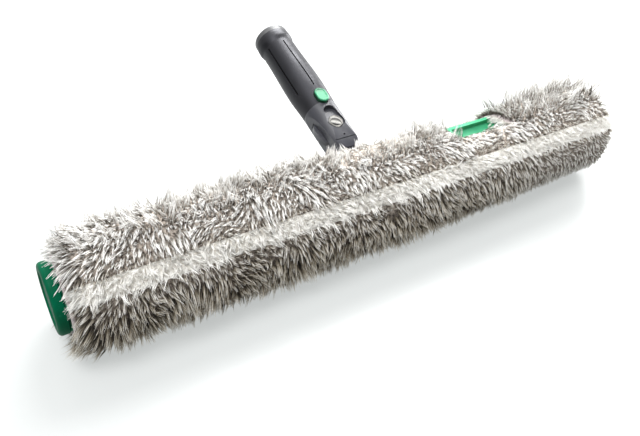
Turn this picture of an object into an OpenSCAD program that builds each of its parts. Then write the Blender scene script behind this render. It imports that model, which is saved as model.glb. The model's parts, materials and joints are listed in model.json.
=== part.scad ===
/* [Stance] */
// Tilt of the handle above the floor, in degrees
tilt = 22; // [16:1:28]
// Depth to which the fur is pressed flat where it lies on the floor
foot_press = 3; // [1:0.5:4]

/* [Bar] */
// Length of the T-bar between its end plates
bar_len = 442; // [300:1:560]
// Reach of the back wall from the sleeve's axis
bar_back = 24.5; // [22:0.5:24.5]
// Reach of the front wall from the sleeve's axis
bar_front = 20; // [18:0.5:22]
// Half height of the bar over its middle
bar_half_h = 17; // [16:0.5:17]
// Reach of the walls at the bar's ends
bar_end_reach = 17; // [15:0.5:17.5]
// Half height of the bar at its ends
bar_end_half_h = 13.8; // [13:0.2:14]
// Length of the taper at each end of the bar
bar_taper = 95; // [60:1:110]
// Thickness of the bar's outer walls
wall = 2.4; // [2:0.1:3]
// Thickness of the web between the upper and lower cells
web_t = 2.2; // [1.6:0.1:3]
// Depth of the upper water cells
cell_depth = 4.2; // [3.6:0.1:5]
// Thickness of a cross rib
rib_t = 2; // [1.4:0.1:3]
// Distance from rib to rib
rib_pitch = 39.5; // [34:0.5:50]

/* [End plates] */
// Diameter of an end plate
cap_d = 44.6; // [43:0.2:46]
// Thickness of an end plate
cap_t = 7; // [5:0.5:9]
// Rounding of an end plate's outer edge
cap_round = 2.5; // [1:0.5:3]
// Depth of the dish in an end plate's outer face
cap_dish = 1; // [0.5:0.1:2]
// Diameter of a peg that plugs an end plate into the bar
peg_d = 6; // [4:0.5:7]
// Length of a peg
peg_len = 8; // [5:0.5:12]

/* [Yoke] */
// Distance from the sleeve's axis to the pivot
pivot_reach = 62; // [60:0.5:68]
// Radius of the round tongue
tongue_r = 14.8; // [13.8:0.1:15]
// Thickness of the tongue
tongue_t = 4.4; // [3.6:0.1:5.2]
// Half width of the neck
neck_half_w = 12.5; // [10:0.5:13]
// Half width of the neck between the ears
waist_half_w = 9.2; // [8:0.1:10]
// Half width of the foot on the bar
foot_half_w = 24; // [22:0.5:30]
// Half height of the foot
foot_half_h = 9; // [7:0.5:10]
// Thickness of the foot
foot_t = 3; // [2:0.1:3.5]
// Distance from the neck's middle to a screw
screw_x = 20; // [17:0.5:20]
// Diameter of a yoke screw
screw_d = 4; // [3:0.5:4.5]
// Length of a yoke screw's shank
screw_len = 5; // [4:0.5:5.5]

/* [Sleeve] */
// Bore of the woven tube
sleeve_bore = 60.4; // [60.4:0.2:64]
// Thickness of the woven tube
backing_t = 1.4; // [1:0.1:2]
// Thickness of the fur over the tube
pile_t = 6; // [5:0.2:12]
// Length of each drawn-in end of the sleeve
end_draw = 10; // [8:0.5:14]
// Length of a bound end
hem_len = 3.6; // [2:0.2:4]
// Width of the pale stripe, in degrees round the sleeve
stripe_arc = 20; // [16:1:40]
// Height of the stripe's middle above the front, in degrees
stripe_up = 32; // [20:1:40]

/* [Closure slit] */
// Start of the open part of the slit, from the middle
slit_from = 72; // [66:1:90]
// End of the open part of the slit
slit_to = 121; // [118:1:134]
// Width of the folded hem at the slit's end
slit_hem_w = 9; // [7:0.5:16]
// Angle at which the slit's lower edge lies above the handle
slit_low = 6; // [2:1:12]
// Angle at which the slit's upper edge lies above the handle
slit_high = 76; // [68:1:84]

/* [Handle] */
// Distance from the pivot to the grip's lower end
head_len = 19; // [18:0.5:24]
// Distance from the pivot to the end of the ears
nose_len = 24; // [20:0.5:25]
// Radius of the head where it meets the grip
head_r = 13.7; // [13.5:0.1:14.5]
// Half width of the ears over the pivot
ear_half_w = 10.2; // [10:0.1:12.5]
// Drop of the head's top towards the nose
head_slope = 2.1; // [1:0.1:2.4]
// Drop of the head's underside towards the nose
belly_slope = 5.2; // [3:0.1:5.6]
// Extra thinning of the nose
nose_drop = 3; // [1:0.1:3.4]
// Length of the soft grip
grip_len = 82; // [70:1:110]
// Radius of the grip at its swell
grip_swell_r = 14.7; // [14:0.1:16]
// Radius of the grip before its bead
grip_neck_r = 13.6; // [13.4:0.1:14]
// Radius of the bead at the grip's end
bead_r = 14.6; // [14.4:0.1:17]
// Length of the bead
bead_len = 11.5; // [9:0.5:18]
// Length of the hard ring at the mouth
ring_len = 5; // [3:0.5:8]
// Diameter of the pole socket
socket_d = 21; // [18:0.1:21.2]
// Depth of the pole socket
socket_len = 70; // [50:1:71]
// Wall of the hard core round the socket
core_wall = 1.6; // [1.4:0.1:1.8]
// Number of long grooves round the grip
groove_n = 6; // [4:1:8]
// Width of a groove
groove_w = 1.1; // [0.8:0.1:1.6]
// Length of a groove
groove_len = 54; // [40:1:60]

/* [Pivot bolt] */
// Diameter of the bolt's round head
bolt_head_d = 11.4; // [9:0.2:12]
// Height of the bolt's head
bolt_head_h = 1.8; // [1.2:0.1:2.2]
// Diameter of the bolt's shank
bolt_d = 6; // [5:0.5:7]
// Thickness of a friction washer
washer_t = 0.4; // [0.3:0.05:0.8]

/* [Button] */
// Distance from the pivot to the button's middle
button_reach = 24; // [23.5:0.5:27]
// Width of the button
button_w = 9.8; // [8:0.2:10.6]
// Length of the button
button_len = 14; // [12:0.2:15]
// Height of the button above the grip's swell
button_proud = 1.5; // [0.5:0.1:2.4]
// Travel of the button
button_travel = 1.8; // [1:0.1:1.8]

/* [Hidden] */
$fn = 64;
// Clearances: a seat, a running fit, a plain gap and a soft piece's gap
seat_gap = 0.05;
run_gap = 0.06;
gap = 0.3;
far = 400;
green = [0, 0.42, 0.27];
dark = [0.24, 0.24, 0.26];
black = [0.1, 0.1, 0.11];
cloth = [0.86, 0.85, 0.82];
// Derived sizes of the bar
bar_end = bar_len / 2;
taper_at = bar_end - bar_taper;
web_top = bar_half_h - cell_depth;
web_low = web_top - web_t;
rib_reach = floor((bar_end - 2 * wall - rib_t) / rib_pitch);
peg_u = bar_end_reach / 2;
// Derived sizes of the sleeve
bore_r = sleeve_bore / 2;
tube_r = bore_r + backing_t;
pile_r = tube_r + pile_t;
axis_z = pile_r - foot_press;
sleeve_end = bar_end - gap;
hem_from = sleeve_end - hem_len;
draw_from = hem_from - end_draw;
draw_r = cap_d / 2 + 1.2;
hem_r = draw_r + 2 * backing_t;
pile_round = 11;
stripe_mid = 180 - stripe_up - tilt;
// Derived sizes of the handle
foot_face = bar_back + foot_t;
tongue_half = tongue_t / 2;
ear_in = tongue_half + washer_t + 2 * seat_gap;
slot_end = pivot_reach + waist_half_w + gap;
nose_at = pivot_reach - nose_len;
grip_at = pivot_reach + head_len;
grip_end = grip_at + grip_len;
mouth = grip_end + ring_len;
socket_r = socket_d / 2;
socket_from = mouth - socket_len;
core_r = socket_r + core_wall;
tip_r = 6;
tip_from = grip_at;
button_at = pivot_reach + button_reach;
button_top = grip_swell_r + button_proud;
spring_wire = 0.5;
spring_turns = 3;
spring_spare = 0.1;
well_floor = tip_r + 2;
button_low = well_floor + spring_turns * spring_wire + spring_spare + button_travel;
well_gap = 0.12;
bolt_seat = 10.2;
swing_r = sqrt(pow(nose_len, 2) + pow(head_r, 2));
ring_r = bead_r - 0.3;
ring_tip_r = ring_r - 1;
nut_r = 5;
nut_t = 3;
nut_seat = 5.8;
pin_d = 4;
// Place of the whole: its middle in plan and its lowest point are the origin
mid_y = (mouth * cos(tilt) + ring_tip_r * sin(tilt) - pile_r) / 2;

function wave(a, b, t) = a + (b - a) * (1 - cos(180 * t)) / 2;
function run_up(u0, r0, u1, r1, n) = [for (i = [0:n]) [wave(r0, r1, i / n), u0 + (u1 - u0) * i / n]];
function arc(cx, cy, r, a0, a1, n) = [for (i = [0:n]) let(a = a0 + (a1 - a0) * i / n)
    [cx + r * cos(a), cy + r * sin(a)]];

// The bar's and handle's own frame: x along the bar, y along the handle, z square to both
module place() {
    translate([0, -mid_y, axis_z])
        rotate([tilt, 0, 0])
            children();
}

module turned_x(points) {
    rotate([0, 90, 0])
        rotate_extrude($fn = 96)
            polygon(points);
}

module turned_y(points) {
    rotate([-90, 0, 0])
        rotate_extrude($fn = 96)
            polygon(points);
}

// A profile in the plane of y and z, drawn out along x
module across(x0, x1) {
    translate([x0, 0, 0])
        rotate([90, 0, 90])
            linear_extrude(x1 - x0)
                children();
}

// A profile in the plane of x and z, drawn out along y
module lengthwise(y0, y1) {
    translate([0, y1, 0])
        rotate([90, 0, 0])
            linear_extrude(y1 - y0)
                children();
}

module sector(a0, a1, x0, x1) {
    across(x0, x1)
        polygon(concat([[0, 0]], arc(0, 0, 2 * pile_r, a0, a1, 8)));
}

module obround(w, l) {
    square([w, l - w], center = true);
    for (s = [-1, 1])
        translate([0, s * (l - w) / 2])
            circle(d = w);
}

module oval_prism(w, l, z0, z1) {
    translate([0, button_at, z0])
        linear_extrude(z1 - z0)
            obround(w, l);
}

// Outline of the bar seen along the pivot, drawn in by a wall's thickness where asked
module bar_plan(inset) {
    e = bar_end - inset;
    t = taper_at;
    polygon([[-e, inset - bar_end_reach], [-t, inset - bar_front], [t, inset - bar_front],
        [e, inset - bar_end_reach], [e, bar_end_reach - inset], [t, bar_back - inset],
        [-t, bar_back - inset], [-e, bar_end_reach - inset]]);
}

module bar_side() {
    polygon([[-bar_end, -bar_end_half_h], [-taper_at, -bar_half_h], [taper_at, -bar_half_h],
        [bar_end, -bar_end_half_h], [bar_end, bar_end_half_h], [taper_at, bar_half_h],
        [-taper_at, bar_half_h], [-bar_end, bar_end_half_h]]);
}

module ribs(z0, z1) {
    for (i = [-rib_reach:rib_reach])
        translate([i * rib_pitch - rib_t / 2, -far / 2, z0])
            cube([rib_t, far, z1 - z0]);
}

module cells(z0, z1) {
    difference() {
        translate([0, 0, z0])
            linear_extrude(z1 - z0)
                bar_plan(wall);
        ribs(z0 - 1, z1 + 1);
    }
}

module bar() {
    color(green) place() difference() {
        intersection() {
            translate([0, 0, -bar_half_h])
                linear_extrude(2 * bar_half_h)
                    bar_plan(0);
            lengthwise(-bar_front - 1, bar_back + 1)
                bar_side();
        }
        cells(web_top, bar_half_h + 1);
        cells(-bar_half_h - 1, web_low);
        for (s = [-1, 1], t = [-1, 1])
            translate([s * bar_end, t * peg_u, 0])
                rotate([0, 90, 0])
                    cylinder(d = peg_d + 2 * seat_gap, h = 3 * wall, center = true);
        for (s = [-1, 1])
            translate([s * screw_x, bar_back - 2 * wall, 0])
                rotate([-90, 0, 0])
                    cylinder(d = screw_d + 2 * seat_gap, h = 3 * wall);
    }
}

// A round plate with a rounded rim, a shallow dish and two pegs
module end_cap() {
    turned_x(concat([[0, 0], [cap_d / 2 - 1, 0], [cap_d / 2, 1]],
        arc(cap_d / 2 - cap_round, cap_t - cap_round, cap_round, 0, 90, 6),
        [[cap_d / 2 - 2 * cap_round, cap_t], [cap_d / 2 - 2 * cap_round - 1, cap_t - cap_dish],
        [0, cap_t - cap_dish]]));
    for (t = [-1, 1])
        translate([-peg_len, t * peg_u, 0])
            rotate([0, 90, 0])
                cylinder(d = peg_d, h = peg_len + 1);
}

module end_cap_left() {
    color(green) place()
        mirror([1, 0, 0])
            translate([bar_end, 0, 0])
                end_cap();
}

module end_cap_right() {
    color(green) place()
        translate([bar_end, 0, 0])
            end_cap();
}

// Foot on the bar's back wall, a collar and gussets that taper to the neck, and the tongue
module yoke() {
    collar_end = pivot_reach - swing_r - gap;
    color(dark) place() difference() {
        union() {
            translate([-foot_half_w, bar_back, -foot_half_h])
                cube([2 * foot_half_w, foot_t, 2 * foot_half_h]);
            translate([-waist_half_w, foot_face - 1, -tongue_half])
                cube([2 * waist_half_w, pivot_reach - foot_face + 1, tongue_t]);
            translate([0, pivot_reach, -tongue_half])
                cylinder(r = tongue_r, h = tongue_t);
            across(-neck_half_w, neck_half_w)
                polygon([[foot_face - 1, -foot_half_h], [foot_face, -foot_half_h],
                    [collar_end, -tongue_half], [collar_end, tongue_half],
                    [foot_face, foot_half_h], [foot_face - 1, foot_half_h]]);
            translate([0, 0, -tongue_half])
                linear_extrude(tongue_t)
                    polygon([[-foot_half_w, foot_face - 1], [foot_half_w, foot_face - 1],
                        [neck_half_w, collar_end], [-neck_half_w, collar_end]]);
        }
        translate([0, pivot_reach, -far / 2])
            cylinder(d = bolt_d + 2 * run_gap, h = far);
        for (s = [-1, 1])
            translate([s * screw_x, bar_back - 1, 0])
                rotate([-90, 0, 0])
                    cylinder(d = screw_d + 2 * seat_gap, h = screw_len - wall + 1.2);
    }
}

module yoke_screw(side) {
    head_h = 2;
    translate([side * screw_x, bar_back - wall, 0]) rotate([-90, 0, 0]) {
        cylinder(d = screw_d, h = screw_len);
        difference() {
            translate([0, 0, -head_h])
                cylinder(d = 2 * screw_d, h = head_h);
            translate([0, 0, -head_h - 1])
                cylinder(d = screw_d * 0.7, h = head_h, $fn = 6);
        }
    }
}

module yoke_screw_left() {
    color("silver") place() yoke_screw(-1);
}

module yoke_screw_right() {
    color("silver") place() yoke_screw(1);
}

module backing() {
    color(cloth) place() difference() {
        turned_x(concat([[bore_r, 0], [bore_r, draw_from], [draw_r, hem_from],
            [draw_r + backing_t, hem_from], [tube_r, draw_from], [tube_r, -draw_from],
            [draw_r + backing_t, -hem_from], [draw_r, -hem_from], [bore_r, -draw_from]]));
        yoke_way(gap);
        slit_way(0, 0);
    }
}

// Way through the sleeve for the yoke and, above it, for the swing of the ears
module yoke_way(more) {
    w = neck_half_w + 7 + more;
    h = foot_half_h - 0.5 + more;
    translate([-w, 0, -h])
        cube([2 * w, far, 2 * h]);
}

module slit_way(margin, hem) {
    sector(slit_low - margin, slit_high + margin, slit_from - margin / 2, slit_to + hem);
}

module pile_raw() {
    end_r = draw_r + 4;
    side = [for (p = arc(pile_r - pile_round, sleeve_end - pile_round, pile_round, 0, 80, 6)) p];
    difference() {
        turned_x(concat([for (i = [len(side) - 1:-1:0]) [side[i][0], side[i][1]]],
            [for (p = side) [p[0], -p[1]]],
            [[end_r, -sleeve_end], [hem_r + gap, -sleeve_end], [hem_r + gap, -hem_from],
            [draw_r + backing_t + gap, -hem_from], [tube_r + seat_gap, -draw_from],
            [tube_r + seat_gap, draw_from], [draw_r + backing_t + gap, hem_from],
            [hem_r + gap, hem_from], [hem_r + gap, sleeve_end], [end_r, sleeve_end]]));
        rotate([-tilt, 0, 0])
            translate([-far, -far / 2, -axis_z - far])
                cube([2 * far, far, far]);
    }
}

module pile_ways() {
    yoke_way(gap);
    translate([0, pivot_reach, -head_r - gap])
        cylinder(r = swing_r + 2 * gap, h = 2 * (head_r + gap));
    slit_way(3, slit_hem_w);
    closure_pocket(gap);
}

module pile_body() {
    color([0.6, 0.57, 0.52]) place() difference() {
        pile_raw();
        sector(stripe_mid - stripe_arc / 2, stripe_mid + stripe_arc / 2, -far, far);
        pile_ways();
    }
}

module pile_stripe() {
    color([0.9, 0.88, 0.84]) place() intersection() {
        pile_raw();
        sector(stripe_mid - stripe_arc / 2, stripe_mid + stripe_arc / 2, -far, far);
    }
}

module hem() {
    turned_x([[draw_r, hem_from], [hem_r, hem_from], [hem_r, sleeve_end - 1],
        [hem_r - 1, sleeve_end], [draw_r, sleeve_end]]);
}

module hem_left() {
    color(cloth) place() mirror([1, 0, 0]) hem();
}

module hem_right() {
    color(cloth) place() hem();
}

// Closure strips beside the yoke: a loop strip on the tube and a hook strip over it
strip_t = 0.6;
strip_from = neck_half_w + 14;
strip_to = slit_from - 8;
strip_low = 36;
strip_high = 58;

module strip(r0, r1, more) {
    intersection() {
        turned_x([[r0, strip_from - more], [r1, strip_from - more], [r1, strip_to + more],
            [r0, strip_to + more]]);
        sector(strip_low - more, strip_high + more, 0, far);
    }
}

module closure_pocket(more) {
    strip(tube_r - 1, tube_r + 2 * strip_t + 2 * seat_gap + more, 2 * more);
}

module loop_strip() {
    color(cloth) place() strip(tube_r + seat_gap, tube_r + seat_gap + strip_t, 0);
}

module hook_strip() {
    color(cloth) place()
        strip(tube_r + 2 * seat_gap + strip_t, tube_r + 2 * seat_gap + 2 * strip_t, 0);
}

// Folded hem at the end of the slit, lying on the tube between the slit and the fur
module slit_hem() {
    hem_t = 1.6;
    color([0.9, 0.84, 0.84]) place() intersection() {
        turned_x([[tube_r + seat_gap, slit_to], [tube_r + hem_t, slit_to],
            [tube_r + hem_t, slit_to + slit_hem_w - gap],
            [tube_r + seat_gap, slit_to + slit_hem_w - gap]]);
        sector(slit_low - 2, slit_high + 2, 0, far);
    }
}

// Outlines of the head from the grip (t = 0) to the nose (t = 1)
head_steps = 12;
head_over = 0.35;
nose_round = 8;

function head_at(t) = grip_at - t * (grip_at - nose_at);
function head_high(t) = head_r + head_over - (head_slope + head_over) * t - nose_drop * pow(t, 4);
function head_low(t) = -head_r - head_over + (belly_slope + head_over) * t + nose_drop * pow(t, 4);
function head_half_w(t) = (ear_half_w + (head_r + head_over - ear_half_w) * pow(1 - t, 3))
    * sqrt(1 - 0.4 * pow(max(0, (t - 0.75) / 0.25), 2));

// Head: a turned body, cut to its slanted side outline and to the width of its ears
module head_shape() {
    steps = [for (i = [0:head_steps]) i / head_steps];
    back = [for (i = [head_steps:-1:0]) i / head_steps];
    intersection() {
        turned_y(concat([[0, nose_at]],
            arc(head_r - nose_round, nose_at + nose_round, nose_round, -90, 0, 10),
            [[head_r, grip_at], [0, grip_at]]));
        across(-far, far)
            polygon(concat([for (t = steps) [head_at(t), head_high(t)]],
                [for (t = back) [head_at(t), head_low(t)]]));
        translate([0, 0, -far])
            linear_extrude(2 * far)
                polygon(concat([for (t = steps) [head_half_w(t), head_at(t)]],
                    [for (t = back) [-head_half_w(t), head_at(t)]]));
    }
}

// Recess round the bolt's head, drawn out towards the button
module recess() {
    r1 = bolt_head_d / 2 + 1.4;
    r2 = r1 - 1.8;
    reach = 9;
    side = 0.4;
    translate([0, pivot_reach, bolt_seat]) {
        cylinder(r = r1, h = far);
        translate([0, reach, 0])
            cylinder(r = r2, h = far);
        linear_extrude(far)
            polygon([[r1 - side, 2], [r2 - side / 2, reach], [side / 2 - r2, reach],
                [side - r1, 2]]);
    }
}

module handle_core() {
    groove = 0.7;
    color(dark) place() difference() {
        union() {
            head_shape();
            turned_y([[0, grip_at - 1], [core_r, grip_at - 1], [core_r, grip_end],
                [0, grip_end]]);
        }
        // slot for the neck as the handle swings, and its round end for the tongue
        translate([-far / 2, -far + slot_end, -ear_in])
            cube([far, far, 2 * ear_in]);
        translate([0, pivot_reach, -ear_in])
            cylinder(r = tongue_r + gap, h = 2 * ear_in);
        recess();
        // bolt's hole, and the seat of the nut
        translate([0, pivot_reach, -far / 2])
            cylinder(d = bolt_d + 2 * seat_gap, h = far);
        translate([0, pivot_reach, -nut_seat - far])
            cylinder(r = nut_r + 1, h = far);
        // parting groove across the nose and a small ejector mark
        translate([-far / 2, nose_at + 7.6, 10])
            cube([far, groove, far]);
        translate([0, nose_at + 10.8, 9])
            cylinder(d = 1.5, h = far);
        // socket, its narrow tip and the button's well
        turned_y([[0, socket_from], [socket_r, socket_from], [socket_r, grip_end + 1],
            [0, grip_end + 1]]);
        turned_y([[0, tip_from], [tip_r, tip_from], [tip_r, socket_from + 1],
            [0, socket_from + 1]]);
        oval_prism(button_w + 2 * well_gap, button_len + 2 * well_gap, well_floor, far);
        translate([0, button_at, 0])
            cylinder(d = pin_d + 0.3, h = well_floor + 1);
    }
}

// Outline of the grip: a slow swell, a neck and a bead
function grip_line() = concat(
    run_up(grip_at, head_r, grip_at + 0.3 * grip_len, grip_swell_r, 8),
    run_up(grip_at + 0.31 * grip_len, grip_swell_r, grip_end - bead_len, grip_neck_r, 10),
    run_up(grip_end - bead_len + 0.5, grip_neck_r, grip_end - bead_len + 6, bead_r, 6),
    run_up(grip_end - 3, bead_r, grip_end, ring_r, 4));

module grip() {
    groove_mid = grip_at + 0.51 * grip_len;
    floor_r = core_r + seat_gap + 0.3 * (grip_neck_r - core_r);
    color(black) place() difference() {
        turned_y(concat([[core_r + seat_gap, grip_at]], grip_line(),
            [[core_r + seat_gap, grip_end]]));
        oval_prism(button_w + 2 * well_gap, button_len + 2 * well_gap, 0, far);
        for (i = [0:groove_n - 1])
            rotate([0, i * 360 / groove_n, 0])
                translate([-groove_w / 2, groove_mid - groove_len / 2 + groove_start, floor_r])
                    cube([groove_w, groove_len - groove_start, far]);
    }
}

// The groove over the button starts past the well, and the rest match it
groove_start = 2;

module end_ring() {
    color([0.3, 0.3, 0.32]) place() turned_y([[socket_r, grip_end], [ring_r, grip_end],
        [ring_r, mouth - 1.6], [ring_r - 0.3, mouth - 0.7], [ring_tip_r, mouth],
        [socket_r, mouth]]);
}

// Bolt with a low domed head; its shank passes both ears, the washers and the tongue
module pivot_bolt() {
    dome = 0.7;
    rim_in = bolt_head_d / 2 - 0.9;
    color("gainsboro") place() translate([0, pivot_reach, 0]) {
        translate([0, 0, bolt_seat])
            rotate_extrude($fn = 96)
                polygon(concat([[0, 0], [bolt_head_d / 2, 0], [bolt_head_d / 2, bolt_head_h - dome],
                    [bolt_head_d / 2 - 0.4, bolt_head_h - 0.2], [rim_in, bolt_head_h - 0.2],
                    [rim_in - 0.3, bolt_head_h - 0.6]],
                    [for (i = [1:6]) [(rim_in - 0.3) * cos(15 * i), bolt_head_h - 0.6 + 0.6 * sin(15 * i)]]));
        translate([0, 0, -nut_seat - nut_t])
            cylinder(d = bolt_d, h = bolt_seat + nut_seat + nut_t + 0.1);
    }
}

module pivot_nut() {
    color("silver") place() translate([0, pivot_reach, -nut_seat - nut_t]) difference() {
        cylinder(r = nut_r, h = nut_t, $fn = 6);
        translate([0, 0, -1])
            cylinder(d = bolt_d + 2 * seat_gap, h = nut_t + 2);
    }
}

module washer(z) {
    translate([0, pivot_reach, z]) difference() {
        cylinder(r = ear_half_w - 1.2, h = washer_t);
        translate([0, 0, -1])
            cylinder(d = bolt_d + 2 * seat_gap, h = washer_t + 2);
    }
}

module washer_upper() {
    color("white") place() washer(tongue_half + seat_gap);
}

module washer_lower() {
    color("white") place() washer(-tongue_half - seat_gap - washer_t);
}

// Oval button with a dished top, and a pin that snaps through the floor of its well
module lock_button() {
    lip = 0.8;
    barb = 0.6;
    color([0.25, 0.65, 0.45]) place() {
        difference() {
            union() {
                oval_prism(button_w, button_len, button_low, button_top - lip);
                translate([0, button_at, button_top - lip])
                    linear_extrude(lip, scale = 0.86)
                        obround(button_w, button_len);
            }
            oval_prism(button_w - 3.4, button_len - 3.4, button_top - 0.3, far);
        }
        translate([0, button_at, 0]) {
            translate([0, 0, tip_r - 2])
                cylinder(d = pin_d, h = button_low - tip_r + 2.1);
            translate([0, 0, tip_r - 2.1])
                cylinder(r1 = pin_d / 2 - 0.4, r2 = pin_d / 2 + barb, h = 1.2);
        }
    }
}

// Coil spring between the well's floor and the button, as a swept tube
spring_r = 2.9;
spring_sides = 6;
spring_steps = 16;
spring_low = well_floor + spring_wire / 2 + seat_gap;
spring_high = button_low - spring_wire / 2 - seat_gap;
spring_rings = spring_turns * spring_steps;

function spring_point(i, j) = let(
    a = 360 * i / spring_steps,
    b = 360 * j / spring_sides,
    r = spring_r + spring_wire / 2 * cos(b),
    z = spring_low + (spring_high - spring_low) * i / spring_rings)
    [r * cos(a), r * sin(a), z + spring_wire / 2 * sin(b)];

module button_spring() {
    n = spring_sides;
    points = [for (i = [0:spring_rings], j = [0:n - 1]) spring_point(i, j)];
    walls = [for (i = [0:spring_rings - 1], j = [0:n - 1], t = [0, 1])
        let(a = i * n + j, b = i * n + (j + 1) % n)
        t == 0 ? [a, b, b + n] : [a, b + n, a + n]];
    caps = [[for (j = [n - 1:-1:0]) j], [for (j = [0:n - 1]) spring_rings * n + j]];
    color("silver") place()
        translate([0, button_at, 0])
            polyhedron(points, concat(walls, caps));
}

bar();
end_cap_left();
end_cap_right();
yoke();
yoke_screw_left();
yoke_screw_right();
backing();
pile_body();
pile_stripe();
hem_left();
hem_right();
loop_strip();
hook_strip();
slit_hem();
handle_core();
grip();
end_ring();
pivot_bolt();
pivot_nut();
washer_upper();
washer_lower();
lock_button();
button_spring();
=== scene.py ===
"""A window scrubber: fur sleeve on a T-bar with end plates, and a swivelling handle."""

import json
import math

import bmesh
import bpy
from mathutils import Matrix, Vector, noise


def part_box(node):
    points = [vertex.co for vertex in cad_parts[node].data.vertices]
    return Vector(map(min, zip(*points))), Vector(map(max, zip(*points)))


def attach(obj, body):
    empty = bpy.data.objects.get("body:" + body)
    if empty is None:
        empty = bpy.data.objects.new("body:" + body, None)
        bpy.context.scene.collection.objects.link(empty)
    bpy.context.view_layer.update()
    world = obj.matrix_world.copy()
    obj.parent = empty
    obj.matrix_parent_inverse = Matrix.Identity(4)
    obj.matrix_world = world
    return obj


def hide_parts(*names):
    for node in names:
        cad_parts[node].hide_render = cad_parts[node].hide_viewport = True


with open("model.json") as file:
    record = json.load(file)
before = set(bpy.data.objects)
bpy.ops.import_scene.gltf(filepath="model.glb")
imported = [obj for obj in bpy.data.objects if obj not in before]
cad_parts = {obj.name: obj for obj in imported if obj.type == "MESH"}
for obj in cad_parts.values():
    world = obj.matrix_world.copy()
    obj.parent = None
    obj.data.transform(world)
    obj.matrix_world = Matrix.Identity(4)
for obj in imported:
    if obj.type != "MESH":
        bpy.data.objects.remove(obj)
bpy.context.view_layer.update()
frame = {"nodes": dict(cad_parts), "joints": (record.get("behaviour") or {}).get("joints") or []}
NODES = frame["nodes"]

MM = 0.001

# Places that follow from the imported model: the bar's axis and the directions of the handle
SWIVEL = frame["joints"][0]
SQUARE = Vector(SWIVEL["axis"]).normalized()
ALONG = Vector((0, SQUARE.z, -SQUARE.y))
PIVOT = Vector(SWIVEL["pos_m"])
PIVOT_REACH = 62 * MM
CENTRE = PIVOT - ALONG * PIVOT_REACH
HANDLE_TILT = math.atan2(ALONG.z, ALONG.y)

# Sizes of the sleeve, as the solids have them; angles go from the back up over the top
TUBE_R = 31.6 * MM
CLOTH_T = 1.4 * MM
SLEEVE_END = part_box("pile_body")[1].x
HEM_LEN = 3.6 * MM
DRAW_LEN = 10 * MM
DRAW_R = 23.5 * MM
STRIPE_UP = math.radians(32)
STRIPE_ARC = math.radians(20)
STRIPE_LOW = math.pi - STRIPE_UP + STRIPE_ARC / 2
STRIPE_HIGH = math.pi - STRIPE_UP - STRIPE_ARC / 2
STRIPE_ANGLES = (STRIPE_HIGH, STRIPE_LOW)
BROWN_ANGLES = (STRIPE_LOW, STRIPE_HIGH + math.tau)
SLIT_X = (72 * MM, 121 * MM)
SLIT_HEM_W = 9 * MM
SLIT_ANGLE = (HANDLE_TILT + math.radians(6), HANDLE_TILT + math.radians(76))
YOKE_HALF_W = 19.8 * MM
YOKE_HALF_H = 8.8 * MM


def round_axis(x, r, angle):
    """A point round the bar's axis, at x along the bar."""
    return CENTRE + Vector((x, r * math.cos(angle), r * math.sin(angle)))


# Camera, at the photograph's viewing angle
IMAGE_W = 640
FOCAL_PX = 680
SENSOR = 36
CAMERA_AT = Vector((-251.2, -386.4, 301.9)) * MM
CAMERA_YAW = math.radians(32.4)
CAMERA_DROP = math.radians(35.4)
CAMERA_ROLL = math.radians(1.8)


def add_camera():
    right = Vector((math.cos(CAMERA_YAW), -math.sin(CAMERA_YAW), 0))
    level = Vector((math.sin(CAMERA_YAW), math.cos(CAMERA_YAW), 0))
    forward = level * math.cos(CAMERA_DROP) - Vector((0, 0, math.sin(CAMERA_DROP)))
    upward = right.cross(forward)
    rolled_right = right * math.cos(CAMERA_ROLL) + upward * math.sin(CAMERA_ROLL)
    rolled_up = upward * math.cos(CAMERA_ROLL) - right * math.sin(CAMERA_ROLL)
    data = bpy.data.cameras.new("camera")
    data.sensor_width = SENSOR
    data.lens = FOCAL_PX / IMAGE_W * SENSOR
    data.clip_start = 0.01
    camera = bpy.data.objects.new("camera", data)
    turn = Matrix((rolled_right, rolled_up, -forward)).transposed().to_4x4()
    camera.matrix_world = Matrix.Translation(CAMERA_AT) @ turn
    bpy.context.scene.collection.objects.link(camera)
    bpy.context.scene.camera = camera


class Socket:
    """A node's output with arithmetic: numbers use Math, vectors use Vector Math."""

    def __init__(self, graph, output):
        self.graph = graph
        self.output = output

    def work(self, operation, *others, flip=False):
        values = list(others) + [self] if flip else [self] + list(others)
        vector = any(
            isinstance(v, Vector) or isinstance(v, Socket) and v.output.type == "VECTOR"
            for v in values
        )
        kind = "ShaderNodeVectorMath" if vector else "ShaderNodeMath"
        return self.graph.node(kind, {"operation": operation}, dict(enumerate(values)))

    def __add__(self, other):
        return self.work("ADD", other)

    def __sub__(self, other):
        return self.work("SUBTRACT", other)

    def __rsub__(self, other):
        return self.work("SUBTRACT", other, flip=True)

    def __mul__(self, other):
        return self.work("MULTIPLY", other)

    def most(self, other):
        return self.work("MAXIMUM", other)

    def sine(self):
        return self.work("SINE")

    def unit(self):
        return self.work("NORMALIZE")

    def absolute(self):
        return self.work("ABSOLUTE")

    def turn_from(self, other):
        return self.work("ARCTAN2", other)

    def length(self):
        return self.graph.node("ShaderNodeVectorMath", {"operation": "LENGTH"}, {0: self}, "Value")

    def dot(self, other):
        return self.graph.node(
            "ShaderNodeVectorMath", {"operation": "DOT_PRODUCT"}, {0: self, 1: other}, "Value"
        )

    def part(self, name):
        return self.graph.node("ShaderNodeSeparateXYZ", {}, {"Vector": self}, name)

    def ramp(self, low, high, to_low=0.0, to_high=1.0):
        """Smooth change from to_low to to_high as the value goes from low to high."""
        return self.graph.node(
            "ShaderNodeMapRange",
            {"interpolation_type": "SMOOTHSTEP"},
            {0: self, 1: low, 2: high, 3: to_low, 4: to_high},
        )


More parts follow.
